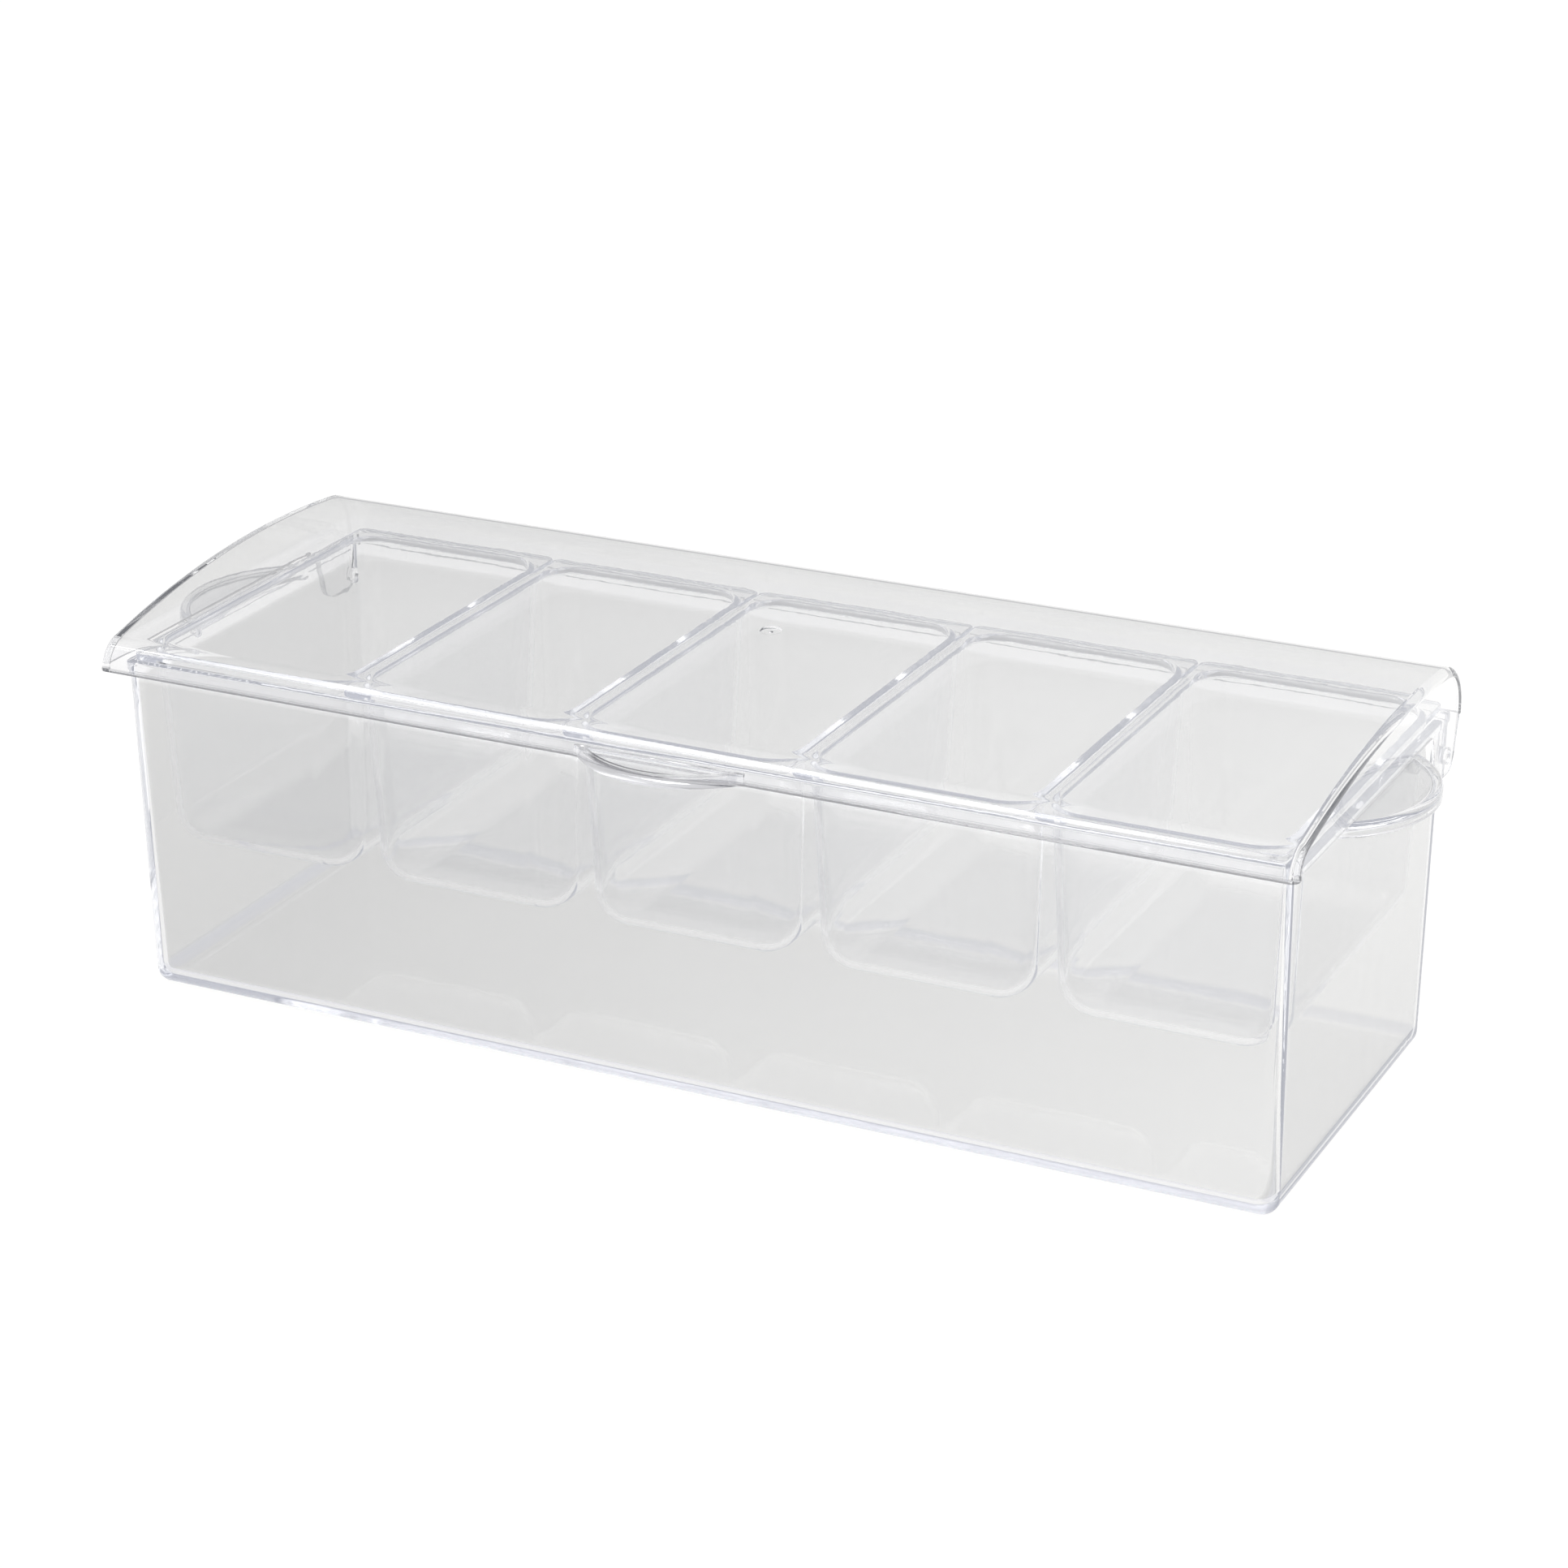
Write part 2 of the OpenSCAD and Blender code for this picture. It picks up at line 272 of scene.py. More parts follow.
def carrying_ledge(side):
    """A half-moon plate with a turned-down edge, open below. Its root lies inside the end wall."""
    bm = bmesh.new()
    tip_r = 0.8
    start = bm.verts.new((0, 0, 0))
    v = path_on(bm, start, (0, LEDGE_R - LEDGE_EDGE_R, 0))
    v = path_arc(bm, v, LEDGE_R - LEDGE_EDGE_R, -LEDGE_EDGE_R, -pi / 2, 6)
    v = path_on(bm, v, (0, 0, -(LEDGE_LIP_H - LEDGE_EDGE_R - tip_r)))
    v = path_arc(bm, v, LEDGE_R - tip_r, -LEDGE_LIP_H + tip_r, -pi / 2, 4)
    v = path_on(bm, v, (0, -(LEDGE_T - 2 * tip_r), 0))
    v = path_arc(bm, v, LEDGE_R - LEDGE_T + tip_r, -LEDGE_LIP_H + tip_r, -pi / 2, 4)
    v = path_on(bm, v, (0, 0, LEDGE_LIP_H - LEDGE_T - 2 * tip_r))
    v = path_arc(bm, v, LEDGE_R - LEDGE_T - tip_r, -LEDGE_T - tip_r, pi / 2, 4)
    path_on(bm, v, (0, -(LEDGE_R - LEDGE_T - tip_r), 0))
    bmesh.ops.spin(
        bm, geom=list(bm.verts) + list(bm.edges), cent=(0, 0, 0), axis=(0, 0, 1), dvec=(0, 0, 0),
        angle=2 * pi, steps=144, use_merge=True, use_duplicate=False,
    )
    bmesh.ops.remove_doubles(bm, verts=bm.verts, dist=0.001)
    bmesh.ops.translate(bm, verts=bm.verts, vec=(TRAY_L / 2 + LEDGE_REACH - LEDGE_R, 0, TRAY_H))
    cut = bmesh.ops.bisect_plane(
        bm, geom=list(bm.verts) + list(bm.edges) + list(bm.faces), dist=0.0001,
        plane_co=(RIM_L / 2 - TRAY_WALL * ROOT_SHARE, 0, 0), plane_no=(1, 0, 0),
        clear_inner=True, clear_outer=False,
    )
    rim = [g for g in cut["geom_cut"] if isinstance(g, bmesh.types.BMEdge)]
    bmesh.ops.contextual_create(bm, geom=rim)
    bmesh.ops.recalc_face_normals(bm, faces=bm.faces)
    if side < 0:
        mirrored(bm)
    return to_object(bm, "ledge")


def hinge_slot(side):
    """The cutter for an open-topped slot in an end wall."""
    bm = bmesh.new()
    for z in (HINGE_Z, TRAY_H + SLOT_OPEN):
        middle = Matrix.Translation((side * (RIM_L / 2 - 1), HINGE_Y, z))
        place = middle @ Matrix.Rotation(pi / 2, 4, "Y")
        bmesh.ops.create_cone(
            bm, cap_ends=True, segments=64, radius1=PIN_R + PIN_PLAY, radius2=PIN_R + PIN_PLAY,
            depth=SLOT_DEPTH, matrix=place,
        )
    wrap(bm)
    return to_object(bm, "slot")


def wrap(bm):
    """Leaves only the tight outer form round everything drawn so far."""
    hull = bmesh.ops.convex_hull(bm, input=list(bm.verts), use_existing_faces=False)
    loose = [g for g in hull["geom_interior"] + hull["geom_unused"] if g.is_valid]
    bmesh.ops.delete(bm, geom=[g for g in loose if isinstance(g, bmesh.types.BMVert)], context="VERTS")
    kept = set(g for g in hull["geom"] if g.is_valid and isinstance(g, bmesh.types.BMFace))
    bmesh.ops.delete(bm, geom=[f for f in bm.faces if f not in kept], context="FACES")
    bmesh.ops.dissolve_limit(bm, angle_limit=radians(0.5), verts=bm.verts, edges=bm.edges)
    bmesh.ops.recalc_face_normals(bm, faces=bm.faces)


def build_tray(finish):
    tray = tray_shell()
    tray.name = "tray_moulding"
    for side in (1, -1):
        combine(tray, carrying_ledge(side), "UNION")
    for side in (1, -1):
        combine(tray, hinge_slot(side), "DIFFERENCE")
    finish_piece(tray, "tray", "tray", finish)


# ---------------------------------------------------------------- the cups

def build_cup(number, finish):
    bm = bmesh.new()
    outer_r = CUP_CORNER_R + CUP_WALL
    outer_l, outer_w = MOUTH_L + 2 * CUP_WALL, MOUTH_W + 2 * CUP_WALL
    floor_z = CUP_LOW + CUP_WALL
    sections = []
    for a in quarter(10):
        inset = CUP_LEAN + outer_r * (1 - sin(a))
        sections.append((
            outer_l - 2 * inset, outer_w - 2 * inset, outer_r * sin(a), CUP_LOW + outer_r * (1 - cos(a)),
        ))
    throat = 0.6
    for a in quarter(3):
        out = throat * (1 - cos(a))
        sections.append((
            outer_l + 2 * out, outer_w + 2 * out, outer_r + out, FLANGE_LOW - throat * (1 - sin(a)),
        ))
    edge = 0.45
    for a in quarter(3):
        out = -edge * (1 - sin(a))
        sections.append((
            FLANGE_L + 2 * out, FLANGE_W + 2 * out, FLANGE_CORNER_R + out, FLANGE_LOW + edge * (1 - cos(a)),
        ))
    for a in quarter(3):
        out = -edge * (1 - cos(a))
        sections.append((
            FLANGE_L + 2 * out, FLANGE_W + 2 * out, FLANGE_CORNER_R + out, FLANGE_TOP - edge * (1 - sin(a)),
        ))
    for a in quarter(5):
        out = MOUTH_ROUND * (1 - sin(a))
        sections.append((
            MOUTH_L + 2 * out, MOUTH_W + 2 * out, CUP_CORNER_R + out, FLANGE_TOP - MOUTH_ROUND * (1 - cos(a)),
        ))
    for a in reversed(quarter(10)):
        inset = CUP_LEAN + CUP_CORNER_R * (1 - sin(a))
        sections.append((
            MOUTH_L - 2 * inset, MOUTH_W - 2 * inset, CUP_CORNER_R * sin(a),
            floor_z + CUP_CORNER_R * (1 - cos(a)),
        ))
    skin(bm, sections, 12)
    middle = (CUP_COUNT + 1) / 2
    bmesh.ops.translate(bm, verts=bm.verts, vec=((number - middle) * CUP_PITCH, 0, 0))
    cup = to_object(bm, f"cup_{number}")
    finish_piece(cup, f"insert_{number}", f"insert_{number}", finish)


# ---------------------------------------------------------------- the lid

def roof_bar(name, half_l, inset, low, front_steps, edge_r, edge_steps):
    """A solid along X with the roof's outline, drawn in by inset, its end edges rounded."""
    bm = bmesh.new()
    first = bm.verts.new((-half_l, LID_FRONT + inset, low))
    v = path_on(bm, first, (0, 0, FRONT_Z - low))
    v = path_arc(bm, v, FRONT_Y, FRONT_Z, -FRONT_TURN, front_steps)
    v = path_arc(bm, v, CROWN_BACK, CROWN_Z, -(pi - FRONT_TURN - BACK_TURN), 44)
    v = path_arc(bm, v, BACK_Y, BACK_Z, -BACK_TURN, 18)
    last = path_on(bm, v, (0, 0, low - BACK_Z))
    near = close_path(bm, first, last)
    draw_out(bm, near, (2 * half_l, 0, 0))
    ends = [
        e for e in bm.edges
        if abs(e.verts[0].co.x - e.verts[1].co.x) < 0.01 and max(v.co.z for v in e.verts) > low + 0.01
    ]
    soften(bm, ends, edge_r, edge_steps)
    return to_object(bm, name)


def block(name, low, high):
    """A plain box between two corners, used as a cutter."""
    bm = bmesh.new()
    low, high = Vector(low), Vector(high)
    size = high - low
    place = Matrix.Translation((low + high) / 2) @ Matrix.Diagonal((size.x, size.y, size.z, 1))
    bmesh.ops.create_cube(bm, size=1, matrix=place)
    return to_object(bm, name)


def lid_shell():
    lid = roof_bar("lid_shell", LID_HALF_L, 0.0, LIP_LOW - 6, 20, LID_EDGE_R, 8)
    hollow = roof_bar("hollow", LID_HALF_L - LID_WALL, LID_WALL, LIP_LOW - 8, 14, 0.8, 3)
    combine(lid, hollow, "DIFFERENCE")
    below = block(
        "below", (-LID_HALF_L - CUT_PAST, LID_FRONT - CUT_PAST, LIP_LOW - 4 * CUT_PAST),
        (LID_HALF_L + CUT_PAST, LID_BACK + CUT_PAST, LIP_LOW),
    )
    combine(lid, below, "DIFFERENCE")
    inner, outer = LID_HALF_L - LID_WALL - 2, LID_HALF_L + CUT_PAST
    for side in (-1, 1):
        ends = sorted((side * inner, side * outer))
        notch = block(
            "notch", (ends[0], LID_FRONT + LID_WALL + NOTCH_SET, LIP_LOW - CUT_PAST),
            (ends[1], LID_BACK - LID_WALL - NOTCH_SET, END_LOW),
        )
        combine(lid, notch, "DIFFERENCE")
    bm = bmesh.new()
    bm.from_mesh(lid.data)
    bmesh.ops.remove_doubles(bm, verts=bm.verts, dist=0.02 * MM)
    bmesh.ops.dissolve_degenerate(bm, edges=bm.edges, dist=0.01 * MM)
    flat = [
        e for e in bm.edges
        if abs(e.verts[0].co.z - e.verts[1].co.z) < 0.001 * MM
        and min(abs(e.verts[0].co.z - z * MM) for z in (LIP_LOW, END_LOW)) < 0.01 * MM
        and e.calc_face_angle(0) > radians(50)
    ]
    soften(bm, flat, 0.4 * MM, 3)
    bmesh.ops.remove_doubles(bm, verts=bm.verts, dist=0.005 * MM)
    bmesh.ops.recalc_face_normals(bm, faces=bm.faces)
    bm.to_mesh(lid.data)
    bm.free()
    return lid


def thumb_tab():
    """The dished crescent under the front lip, its roots curving into the lip."""
    bm = bmesh.new()
    root_y = LID_FRONT + LID_WALL * ROOT_SHARE
    rise = TAB_MIDDLE_Y - LID_FRONT + TAB_ROOT_R
    root_x = sqrt((TAB_R + TAB_ROOT_R) ** 2 - rise ** 2)
    turn = acos(rise / (TAB_R + TAB_ROOT_R))
    first = bm.verts.new((-root_x, root_y, 0))
    v = path_on(bm, first, (0, LID_FRONT - root_y, 0))
    v = flat_arc(bm, v, -root_x, LID_FRONT - TAB_ROOT_R, -turn, 6)
    v = flat_arc(bm, v, 0, TAB_MIDDLE_Y, 2 * turn, 56)
    v = flat_arc(bm, v, root_x, LID_FRONT - TAB_ROOT_R, -turn, 6)
    last = path_on(bm, v, (0, root_y - LID_FRONT, 0))
    under = close_path(bm, first, last)
    draw_out(bm, under, (0, 0, TAB_T))
    front = [e for e in bm.edges if min(v.co.y for v in e.verts) < LID_FRONT - TAB_ROOT_R - 0.2]
    soften(bm, [e for e in front if max(v.co.z for v in e.verts) < 0.01], 1.0, 4)
    soften(bm, [e for e in front if e.is_valid and min(v.co.z for v in e.verts) > TAB_T - 0.01], 0.5, 3)
    bmesh.ops.translate(bm, verts=bm.verts, vec=(0, 0, LIP_LOW + HAIR))
    bmesh.ops.recalc_face_normals(bm, faces=bm.faces)
    tab = to_object(bm, "tab")
    dish = bmesh.new()
    place = Matrix.Translation((0, TAB_MIDDLE_Y, LIP_LOW + TAB_T - TAB_DISH + 5))
    bmesh.ops.create_cone(
        dish, cap_ends=True, segments=144, depth=10, matrix=place,
        radius1=TAB_R - TAB_RIM - 0.5, radius2=TAB_R - TAB_RIM + 4.5,
    )
    bmesh.ops.bisect_plane(
        dish, geom=list(dish.verts) + list(dish.edges) + list(dish.faces), dist=0.0001,
        plane_co=(0, LID_FRONT - 0.2, 0), plane_no=(0, 1, 0), clear_outer=True, clear_inner=False,
    )
    bmesh.ops.holes_fill(dish, edges=dish.edges, sides=0)
    bmesh.ops.recalc_face_normals(dish, faces=dish.faces)
    combine(tab, to_object(dish, "dish"), "DIFFERENCE")
    return tab


def flat_arc(bm, vert, x, y, turn, steps):
    """Carries a path on along an arc in plan."""
    swept = bmesh.ops.spin(
        bm, geom=[vert], cent=(x, y, 0), axis=(0, 0, 1), dvec=(0, 0, 0),
        angle=turn, steps=steps, use_merge=False, use_duplicate=False,
    )
    return next(g for g in swept["geom_last"] if isinstance(g, bmesh.types.BMVert))


def hinge_ear(side):
    """The tongue that hangs from an end wall."""
    bm = bmesh.new()
    outer_x = LID_HALF_L - HAIR
    thick = LID_WALL - 2 * HAIR
    for forward in (0, EAR_LOW_W):
        middle = Matrix.Translation((outer_x - thick / 2, EAR_Y - forward, EAR_Z))
        bmesh.ops.create_cone(
            bm, cap_ends=True, segments=64, radius1=EAR_R, radius2=EAR_R, depth=thick,
            matrix=middle @ Matrix.Rotation(pi / 2, 4, "Y"),
        )
    top_back = LID_BACK - LID_WALL - HAIR
    place = (
        Matrix.Translation((outer_x - thick / 2, top_back - EAR_TOP_W / 2, END_LOW + LID_WALL / 2))
        @ Matrix.Diagonal((thick, EAR_TOP_W, LID_WALL, 1))
    )
    bmesh.ops.create_cube(bm, size=1, matrix=place)
    wrap(bm)
    outline = [
        e for e in bm.edges
        if min(v.co.x for v in e.verts) > outer_x - 0.01
        and max(v.co.z for v in e.verts) < END_LOW + LID_WALL - 0.01
    ]
    soften(bm, outline, 0.6, 3)
    if side < 0:
        mirrored(bm)
    return to_object(bm, "ear")


def hinge_pin(side):
    """A round pin from an ear to the inside of the tray's end wall, its free end eased."""
    bm = bmesh.new()
    outer_x = LID_HALF_L - LID_WALL / 2
    middle = Matrix.Translation(((PIN_INNER_X + outer_x) / 2, HINGE_Y, HINGE_Z))
    bmesh.ops.create_cone(
        bm, cap_ends=True, segments=64, radius1=PIN_R, radius2=PIN_R, depth=outer_x - PIN_INNER_X,
        matrix=middle @ Matrix.Rotation(pi / 2, 4, "Y"),
    )
    soften(bm, [e for e in bm.edges if max(v.co.x for v in e.verts) < PIN_INNER_X + 0.01], 0.5, 3)
    if side < 0:
        mirrored(bm)
    return to_object(bm, "pin")


def gate_mark():
    """The cutter for the small round mark on the crown, which leaves a nub in its middle."""
    bm = bmesh.new()
    floor_z = CROWN_Z + sqrt(CROWN_R ** 2 - (GATE_SET + CROWN_BACK) ** 2) - GATE_DEPTH
    first = bm.verts.new((0, 0, GATE_NUB_H))
    v = path_arc(bm, first, 0, GATE_NUB_H - GATE_NUB_R, -acos(1 - GATE_NUB_H / GATE_NUB_R), 5)
    v = path_on(bm, v, (0, GATE_R - 0.3 - v.co.y, 0))
    v = path_arc(bm, v, GATE_R - 0.3, 0.3, pi / 2, 4)
    v = path_on(bm, v, (0, 0, GATE_DEPTH + 0.7))
    path_on(bm, v, (0, -GATE_R, 0))
    bmesh.ops.spin(
        bm, geom=list(bm.verts) + list(bm.edges), cent=(0, 0, 0), axis=(0, 0, 1), dvec=(0, 0, 0),
        angle=2 * pi, steps=64, use_merge=True, use_duplicate=False,
    )
    bmesh.ops.remove_doubles(bm, verts=bm.verts, dist=0.001)
    bmesh.ops.translate(bm, verts=bm.verts, vec=(0, -GATE_SET, floor_z))
    bmesh.ops.recalc_face_normals(bm, faces=bm.faces)
    return to_object(bm, "gate")


def build_lid(finish):
    lid = lid_shell()
    lid.name = "lid_moulding"
    combine(lid, gate_mark(), "DIFFERENCE")
    combine(lid, thumb_tab(), "UNION")
    for side in (1, -1):
        combine(lid, hinge_ear(side), "UNION")
        combine(lid, hinge_pin(side), "UNION")
    finish_piece(lid, "lid", "lid", finish)


# ---------------------------------------------------------------- finishes

# Colour of a painted glow: the plastic gives off a little light of its own, though it is no lamp, and it
# gathers in the edges where light crosses the plastic many times
PAINTED_EDGE_GLOW = (0.86, 0.89, 1.0)
# Where painted light and shade change the plastic's tint, in metres from the middle of the tray's foot
END_WALL_FROM, END_WALL_TO, END_WALL_SIDE = 0.1835, 0.1915, 0.0630
FOOT_SIDE, FOOT_END, FOOT_HIGH = 0.0640, 0.1858, 0.0060
BRIM_LOW, LIP_HIGH, LEDGE_FROM = 0.1035, 0.1160, 0.1925
LOWER_EDGE_HIGH, LOWER_EDGE_FRONT, LOWER_EDGE_BACK = 0.1096, -0.0776, -0.0700
TAB_FROM, TAB_RIM_FROM_R = -0.0775, 0.0349
STEP_INNER_R, STEP_OUTER_R, STEP_LEFT, STEP_RIGHT = 0.0331, 0.0345, -0.0225, 0.0120


class Field:
    """A value that changes over a surface. Arithmetic on it adds Math nodes."""

    def __init__(self, tree, socket):
        self.tree = tree
        self.socket = socket

    def _math(self, operation, first, second):
        node = self.tree.nodes.new("ShaderNodeMath")
        node.operation = operation
        for slot, value in zip(node.inputs, (first, second)):
            if isinstance(value, Field):
                self.tree.links.new(value.socket, slot)
            else:
                slot.default_value = value
        return Field(self.tree, node.outputs[0])

    def __add__(self, other):
        return self._math("ADD", self, other)

    __radd__ = __add__

    def __mul__(self, other):
        return self._math("MULTIPLY", self, other)

    __rmul__ = __mul__

    def __sub__(self, other):
        return self._math("SUBTRACT", self, other)

    def __rsub__(self, other):
        return self._math("SUBTRACT", other, self)

    def at_least(self, other):
        return self._math("MAXIMUM", self, other)

    def within_one(self):
        return self._math("MINIMUM", self.at_least(0.0), 1.0)

    def over(self, level, steepness):
        """One above the level and nought below it. The steeper, the sharper the change."""
        return ((self - level) * steepness).within_one()

    def under(self, level, steepness):
        """One below the level and nought above it. The steeper, the sharper the change."""
        return ((level - self) * steepness).within_one()


class Finish:
    """A node tree that is filled one node at a time."""

    def __init__(self, tree):
        self.tree = tree
        tree.nodes.clear()

    def node(self, kind, settings=None, **sockets):
        """Adds a node. Settings come first, then values or links for its sockets, by name."""
        made = self.tree.nodes.new(kind)
        for name, value in (settings or {}).items():
            setattr(made, name, value)
        for name, value in sockets.items():
            slot = made.inputs[name.replace("_", " ")]
            if isinstance(value, Field):
                self.tree.links.new(value.socket, slot)
            elif isinstance(value, bpy.types.NodeSocket):
                self.tree.links.new(value, slot)
            else:
                slot.default_value = value
        return made

    def field(self, socket):
        return Field(self.tree, socket)

    def blend(self, factor, low, high):
        """A colour between low and high, each a colour's numbers or another node's colour."""
        mix = self.node("ShaderNodeMix", {"data_type": "RGBA", "clamp_factor": True})
        self.tree.links.new(factor.socket, mix.inputs["Factor"])
        for slot, value in ((mix.inputs[6], low), (mix.inputs[7], high)):
            if isinstance(value, bpy.types.NodeSocket):
                self.tree.links.new(value, slot)
            else:
                slot.default_value = (*value, 1)
        return mix.outputs[2]


# Each zone paints light or shade into one part of a moulding: it gives one inside that part and nought
# outside it. Lengths across and from front to back are compared as squares where both sides of the middle
# count.

# Painted shade: the tray's end walls darker than the rest
def end_walls_painted_shade(across, back, rise):
    wide = across * across
    between = wide.over(END_WALL_FROM ** 2, 1800) * wide.under(END_WALL_TO ** 2, 1800)
    return between * (back * back).under(END_WALL_SIDE ** 2, 4000)


# Painted shade: a lilac-grey band round the foot of the tray
def foot_edge_painted_shade(across, back, rise):
    sides = (back * back).over(FOOT_SIDE ** 2, 4000)
    ends = (across * across).over(FOOT_END ** 2, 1800)
    return rise.under(FOOT_HIGH, 600) * sides.at_least(ends)


# Painted light: everything above a height is lighter, the tray's rim and the cups' flanges
def brim_painted_light(across, back, rise):
    return rise.over(BRIM_LOW, 1500)


# Painted light: one even tone on both ledges, in place of the tray's painted gradient
def ledges(across, back, rise):
    return (across * across).over(LEDGE_FROM ** 2, 4000)


# Painted highlight: the lid is lighter below a height, along its front lip
def lip(across, back, rise):
    return rise.under(LIP_HIGH, 800)


def lower_edge_painted_reflection(across, back, rise):
    """A painted dark reflection: a dark line along the lid's lower front edge, as the photograph shows it
    from its side.
    """
    low = rise.under(LOWER_EDGE_HIGH, 3000)
    return low * back.under(LOWER_EDGE_BACK, 2000) * back.over(LOWER_EDGE_FRONT, 4000)


def from_tab_middle(across, back):
    """The square of the distance from the middle of the thumb tab's round front."""
    away = back - TAB_MIDDLE_Y * MM
    return across * across + away * away


# Painted shade: the rim of the thumb tab greyer
def tab_rim_painted_shade(across, back, rise):
    rim = from_tab_middle(across, back).over(TAB_RIM_FROM_R ** 2, 60000)
    return rim * back.under(TAB_FROM, 2000)


def dish_step_painted_reflection(across, back, rise):
    """A painted dark reflection: a dark crescent in the step round the tab's dish, as the photograph shows it
    from its side.
    """
    away = from_tab_middle(across, back)
    step = away.over(STEP_INNER_R ** 2, 60000) * away.under(STEP_OUTER_R ** 2, 60000)
    crescent = step * back.under(TAB_FROM, 2000)
    return crescent * across.over(STEP_LEFT, 300) * across.under(STEP_RIGHT, 150)


def clear_plastic(name, deep, pale, painted_light_slope, zones, haze, ripple, painted_glow):
    """Clear moulded plastic. Its tint varies at random and pales from one side to the other as painted light,
    and each zone paints its own light or shade into it.
    """
    material = bpy.data.materials.new(name)
    material.use_nodes = True
    f = Finish(material.node_tree)
    place = f.node("ShaderNodeTexCoord").outputs["Object"]
    parts = f.node("ShaderNodeSeparateXYZ", Vector=place)
    across, back, rise = (f.field(parts.outputs[axis]) for axis in "XYZ")
    cloud = f.node("ShaderNodeTexNoise", Vector=place, Scale=9.0, Detail=2.0, Roughness=0.5)
    drawn = f.node("ShaderNodeMapping", Vector=place, Scale=(1.0, 2.2, 1.4)).outputs["Vector"]
    flow = f.node("ShaderNodeTexNoise", Vector=drawn, Scale=26.0, Detail=1.0, Roughness=0.4)
    fine = f.node("ShaderNodeTexNoise", Vector=place, Scale=140.0, Detail=2.0, Roughness=0.5)
    # Painted light: the tint pales from left to right, and on the lid also from front to back; the noise
    # cloud adds tone that differs at random
    random_tone_and_painted_light = 0.35 + 0.3 * f.field(cloud.outputs["Fac"]) + painted_light_slope[0] * across + painted_light_slope[1] * back
    tint = f.blend(random_tone_and_painted_light, deep, pale)
    for zone, colour in zones:
        tint = f.blend(zone(across, back, rise), tint, colour)
    dull = f.field(fine.outputs["Fac"]) * haze + haze * 0.5
    wave = f.field(flow.outputs["Fac"]) + 0.12 * f.field(fine.outputs["Fac"])
    bump = f.node("ShaderNodeBump", Strength=ripple, Distance=0.0006, Height=wave)
    shell = f.node(
        "ShaderNodeBsdfPrincipled", Base_Color=tint, Roughness=dull, IOR=1.5,
        Normal=bump.outputs["Normal"],
    )
    shell.inputs["Transmission Weight"].default_value = 1.0
    # Painted glow: a little emitted light, so that the plastic shines though it is no lamp
    shell.inputs["Emission Color"].default_value = (*PAINTED_EDGE_GLOW, 1)
    shell.inputs["Emission Strength"].default_value = painted_glow
    f.node("ShaderNodeOutputMaterial", Surface=shell.outputs["BSDF"])
    return material


def floor_finish():
    """A pale matt tabletop, lit from above and glowing as if lit from below, with painted light that makes
    its glow a little brighter towards +X.
    """
    material = bpy.data.materials.new("pale_tabletop")
    material.use_nodes = True
    f = Finish(material.node_tree)
    place = f.node("ShaderNodeTexCoord").outputs["Object"]
    across = f.field(f.node("ShaderNodeSeparateXYZ", Vector=place).outputs["X"])
    cloud = f.node("ShaderNodeTexNoise", Vector=place, Scale=1.5, Detail=2.0, Roughness=0.5)
    tint = f.blend(f.field(cloud.outputs["Fac"]), (0.08, 0.08, 0.08), (0.09, 0.09, 0.09))
    # Painted light: the tabletop's glow grows a little brighter towards +X
    glow = f.blend(0.5 + 1.2 * across, (0.955, 0.952, 0.945), (0.98, 0.977, 0.97))
    top = f.node("ShaderNodeBsdfPrincipled", Base_Color=tint, Roughness=0.8, Emission_Color=glow)
    top.inputs["Specular IOR Level"].default_value = 0.1
    top.inputs["Emission Strength"].default_value = 1.0
    f.node("ShaderNodeOutputMaterial", Surface=top.outputs["BSDF"])
    return material


# ---------------------------------------------------------------- stage

FLOOR_HALF, FLOOR_DROP = 60000.0, 0.2


def lay_floor():
    """A wide tabletop, a hair below the tray so that the two don't lie in one plane."""
    bm = bmesh.new()
    bmesh.ops.create_grid(bm, x_segments=4, y_segments=4, size=FLOOR_HALF)
    bmesh.ops.translate(bm, verts=bm.verts, vec=(0, 0, -FLOOR_DROP))
    floor = to_object(bm, "tabletop")
    floor.data.materials.append(floor_finish())


def light_studio():
    """Soft light all round, a little stronger overhead and weaker low down in front."""
    world = bpy.data.worlds.new("studio")
    bpy.context.scene.world = world
    world.use_nodes = True
    f = Finish(world.node_tree)
    way = f.node("ShaderNodeTexCoord").outputs["Generated"]
    parts = f.node("ShaderNodeSeparateXYZ", Vector=way)
    side, rise = f.field(parts.outputs["X"]), f.field(parts.outputs["Z"])
    front = -1 * f.field(parts.outputs["Y"])
    high = (rise - 0.42).at_least(0.0)
    ahead = (front - 0.35).at_least(0.0)
    haze = rise.over(0.08, 6).at_least(front.under(-0.1, 4))
    level = haze * (0.34 + 0.5 * high + 0.10 * side - 0.5 * ahead)
    sky = f.blend(level, (0.03, 0.032, 0.04), (1.0, 1.0, 1.0))
    glow = f.node("ShaderNodeBackground", Color=sky, Strength=1.7)
    f.node("ShaderNodeOutputWorld", Surface=glow.outputs["Background"])
    softbox("overhead", place=(0.15, 0.1, 1.7), target=(0, 0, 0), size=(1.6, 1.6), watts=3.0)
    softbox(
        "over_the_shoulder", place=(-0.70, -0.63, 1.41), target=(0, 0, 0.1), size=(0.9, 0.25), watts=6.0,
    )


def softbox(name, place, target, size, watts):
    lamp = bpy.data.lights.new(name, "AREA")
    lamp.shape = "RECTANGLE"
    lamp.size, lamp.size_y = size
    lamp.energy = watts
    obj = bpy.data.objects.new(name, lamp)
    obj.location = place
    obj.rotation_mode = "QUATERNION"
    obj.rotation_quaternion = (Vector(target) - Vector(place)).to_track_quat("-Z", "Y")
    bpy.context.scene.collection.objects.link(obj)


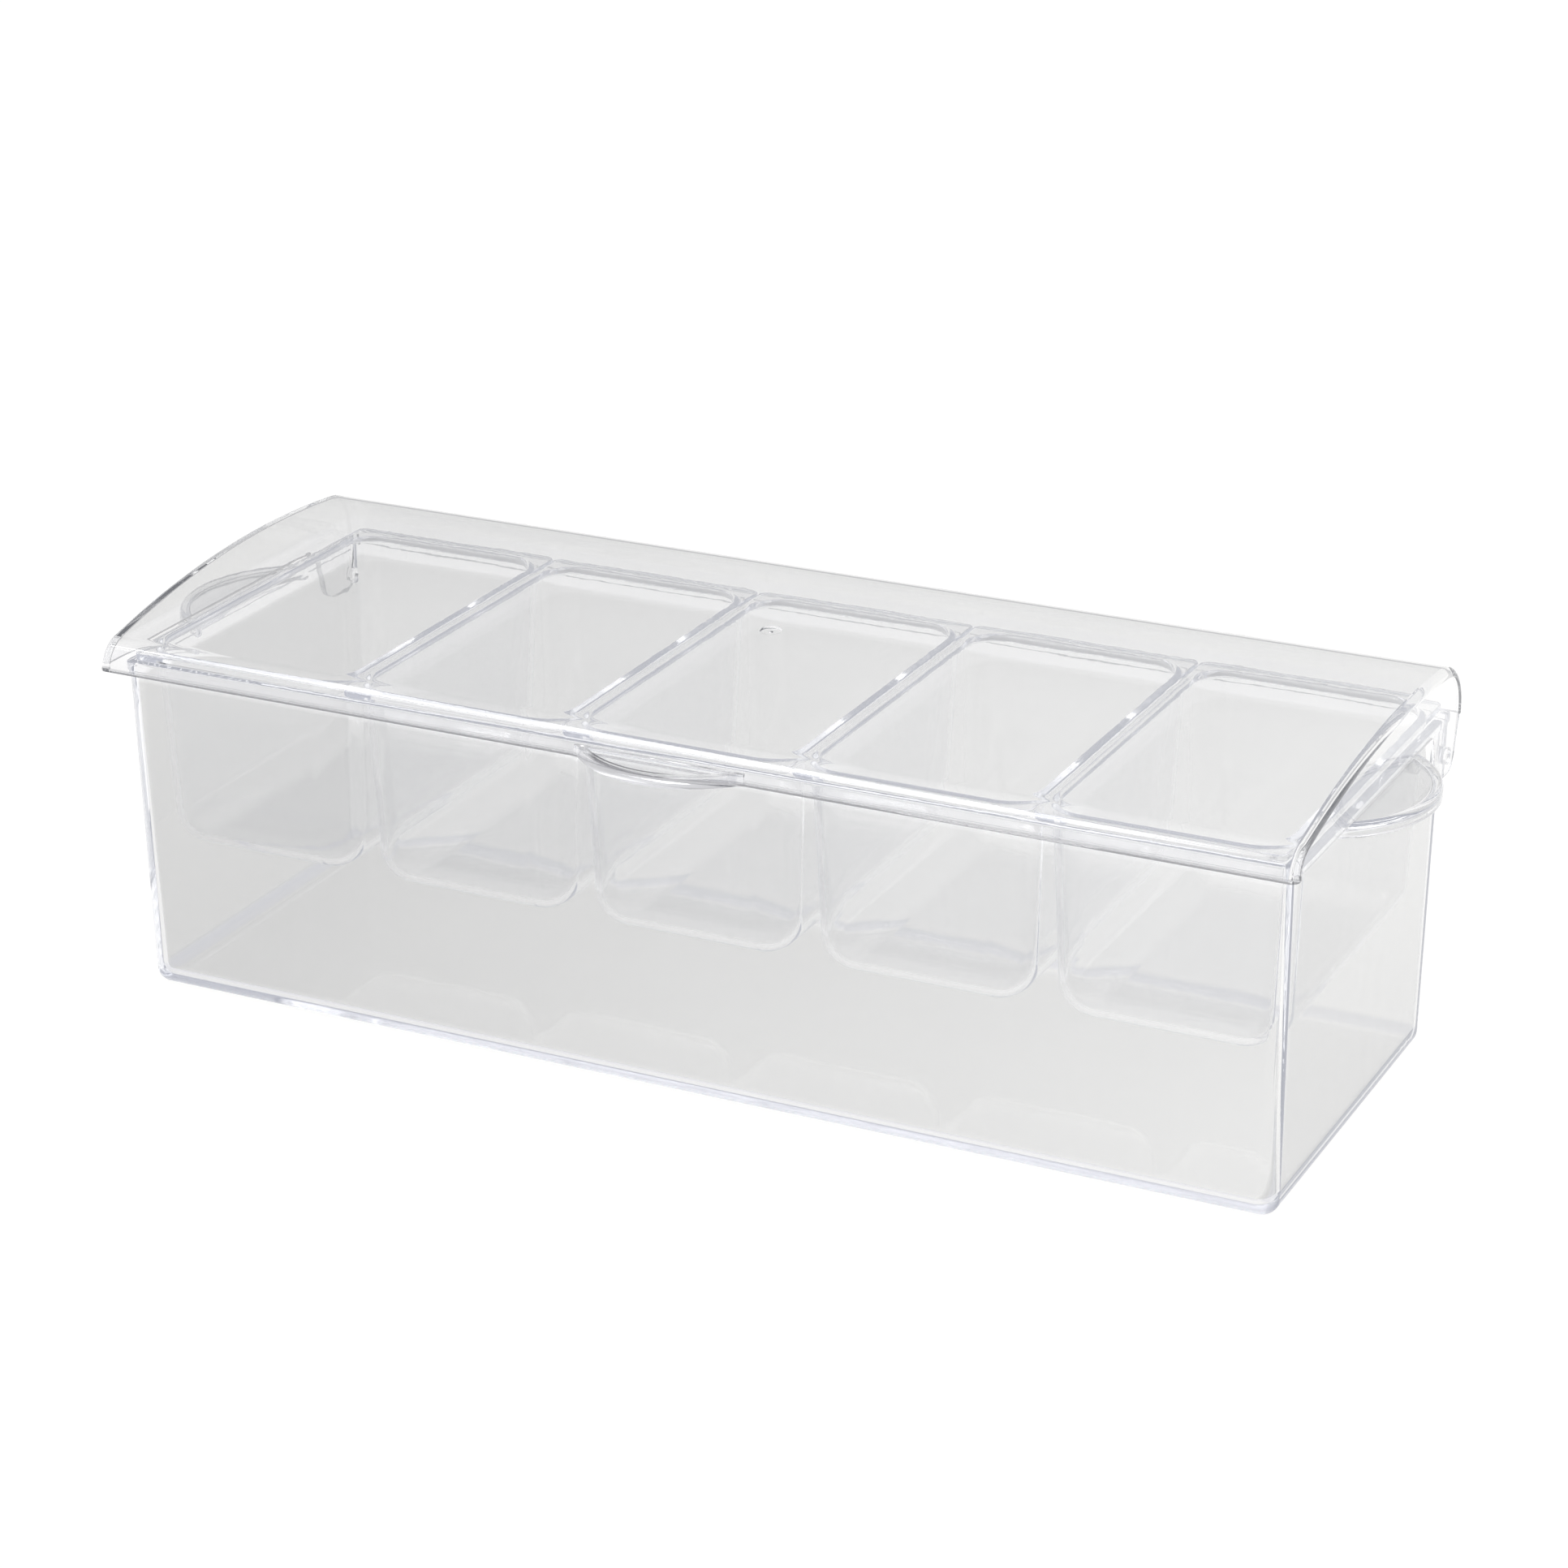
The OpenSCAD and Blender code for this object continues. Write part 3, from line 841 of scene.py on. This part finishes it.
def set_camera():
    """The photograph's view: a long lens, a little to the right and above."""
    azimuth, elevation, roll = radians(26.1099), radians(21.7616), radians(-0.159)
    focal, width = 5071.07, 1932.0
    aim = Vector((-2.7076, -15.9894, 1277.2314))
    right = Vector((cos(azimuth), sin(azimuth), 0))
    ahead = Vector((-sin(azimuth) * cos(elevation), cos(azimuth) * cos(elevation), -sin(elevation)))
    above = right.cross(ahead)
    across = cos(roll) * right + sin(roll) * above
    upright = -sin(roll) * right + cos(roll) * above
    middle = Vector((0, 0, 60))
    place = middle - (aim.x * across + aim.y * upright + aim.z * ahead)
    cam = bpy.data.cameras.new("photo_view")
    cam.sensor_width = 36
    cam.sensor_fit = "HORIZONTAL"
    cam.lens = focal / width * cam.sensor_width
    cam.clip_start, cam.clip_end = 0.05, 200
    obj = bpy.data.objects.new("photo_view", cam)
    turn = Matrix((across, upright, -ahead)).transposed()
    obj.matrix_world = Matrix.Translation(place * MM) @ turn.to_4x4()
    bpy.context.scene.collection.objects.link(obj)
    bpy.context.scene.camera = obj


def set_rendering():
    """Lets light pass through many walls before it is given up."""
    scene = bpy.context.scene
    scene.view_settings.view_transform = "Standard"
    scene.view_settings.look = "None"
    paths = scene.cycles
    paths.max_bounces = 40
    paths.transmission_bounces = 40
    paths.glossy_bounces = 40
    paths.diffuse_bounces = 3
    paths.transparent_max_bounces = 16
    paths.sample_clamp_indirect = 4.0
    paths.caustics_refractive = True
    paths.caustics_reflective = True
    paths.blur_glossy = 0.3
    paths.use_denoising = True
    paths.denoiser = "OPENIMAGEDENOISE"


# ---------------------------------------------------------------- the whole

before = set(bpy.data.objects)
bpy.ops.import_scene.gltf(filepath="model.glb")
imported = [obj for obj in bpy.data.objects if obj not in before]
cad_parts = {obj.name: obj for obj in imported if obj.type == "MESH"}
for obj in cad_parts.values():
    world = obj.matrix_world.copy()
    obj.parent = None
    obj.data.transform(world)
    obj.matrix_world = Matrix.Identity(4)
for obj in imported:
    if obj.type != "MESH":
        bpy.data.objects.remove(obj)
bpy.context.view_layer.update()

tray_plastic = clear_plastic(
    "tray_plastic", deep=(0.81, 0.81, 0.808), pale=(0.905, 0.905, 0.901), painted_light_slope=(2.4, 0.0),
    zones=[
        (end_walls_painted_shade, (0.73, 0.73, 0.728)),
        (brim_painted_light, (0.98, 0.98, 0.983)),
        (ledges, (0.90, 0.90, 0.902)),
        (foot_edge_painted_shade, (0.66, 0.67, 0.73)),
    ],
    haze=0.012, ripple=0.10, painted_glow=0.012,
)
lid_plastic = clear_plastic(
    "lid_plastic", deep=(0.85, 0.85, 0.848), pale=(0.99, 0.99, 0.986), painted_light_slope=(0.6, 5.0),
    zones=[
        (lip, (0.975, 0.975, 0.98)),
        (tab_rim_painted_shade, (0.72, 0.72, 0.75)),
        (dish_step_painted_reflection, (0.08, 0.08, 0.09)),
        (lower_edge_painted_reflection, (0.45, 0.45, 0.47)),
    ],
    haze=0.012, ripple=0.10, painted_glow=0.004,
)
cup_plastic = clear_plastic(
    "cup_plastic", deep=(0.935, 0.935, 0.935), pale=(0.95, 0.95, 0.95), painted_light_slope=(1.0, 0.0),
    zones=[(brim_painted_light, (0.99, 0.99, 0.992))],
    haze=0.012, ripple=0.14, painted_glow=0.015,
)

build_tray(tray_plastic)
build_lid(lid_plastic)
for number in range(1, CUP_COUNT + 1):
    build_cup(number, cup_plastic)

lay_floor()
light_studio()
set_camera()
set_rendering()
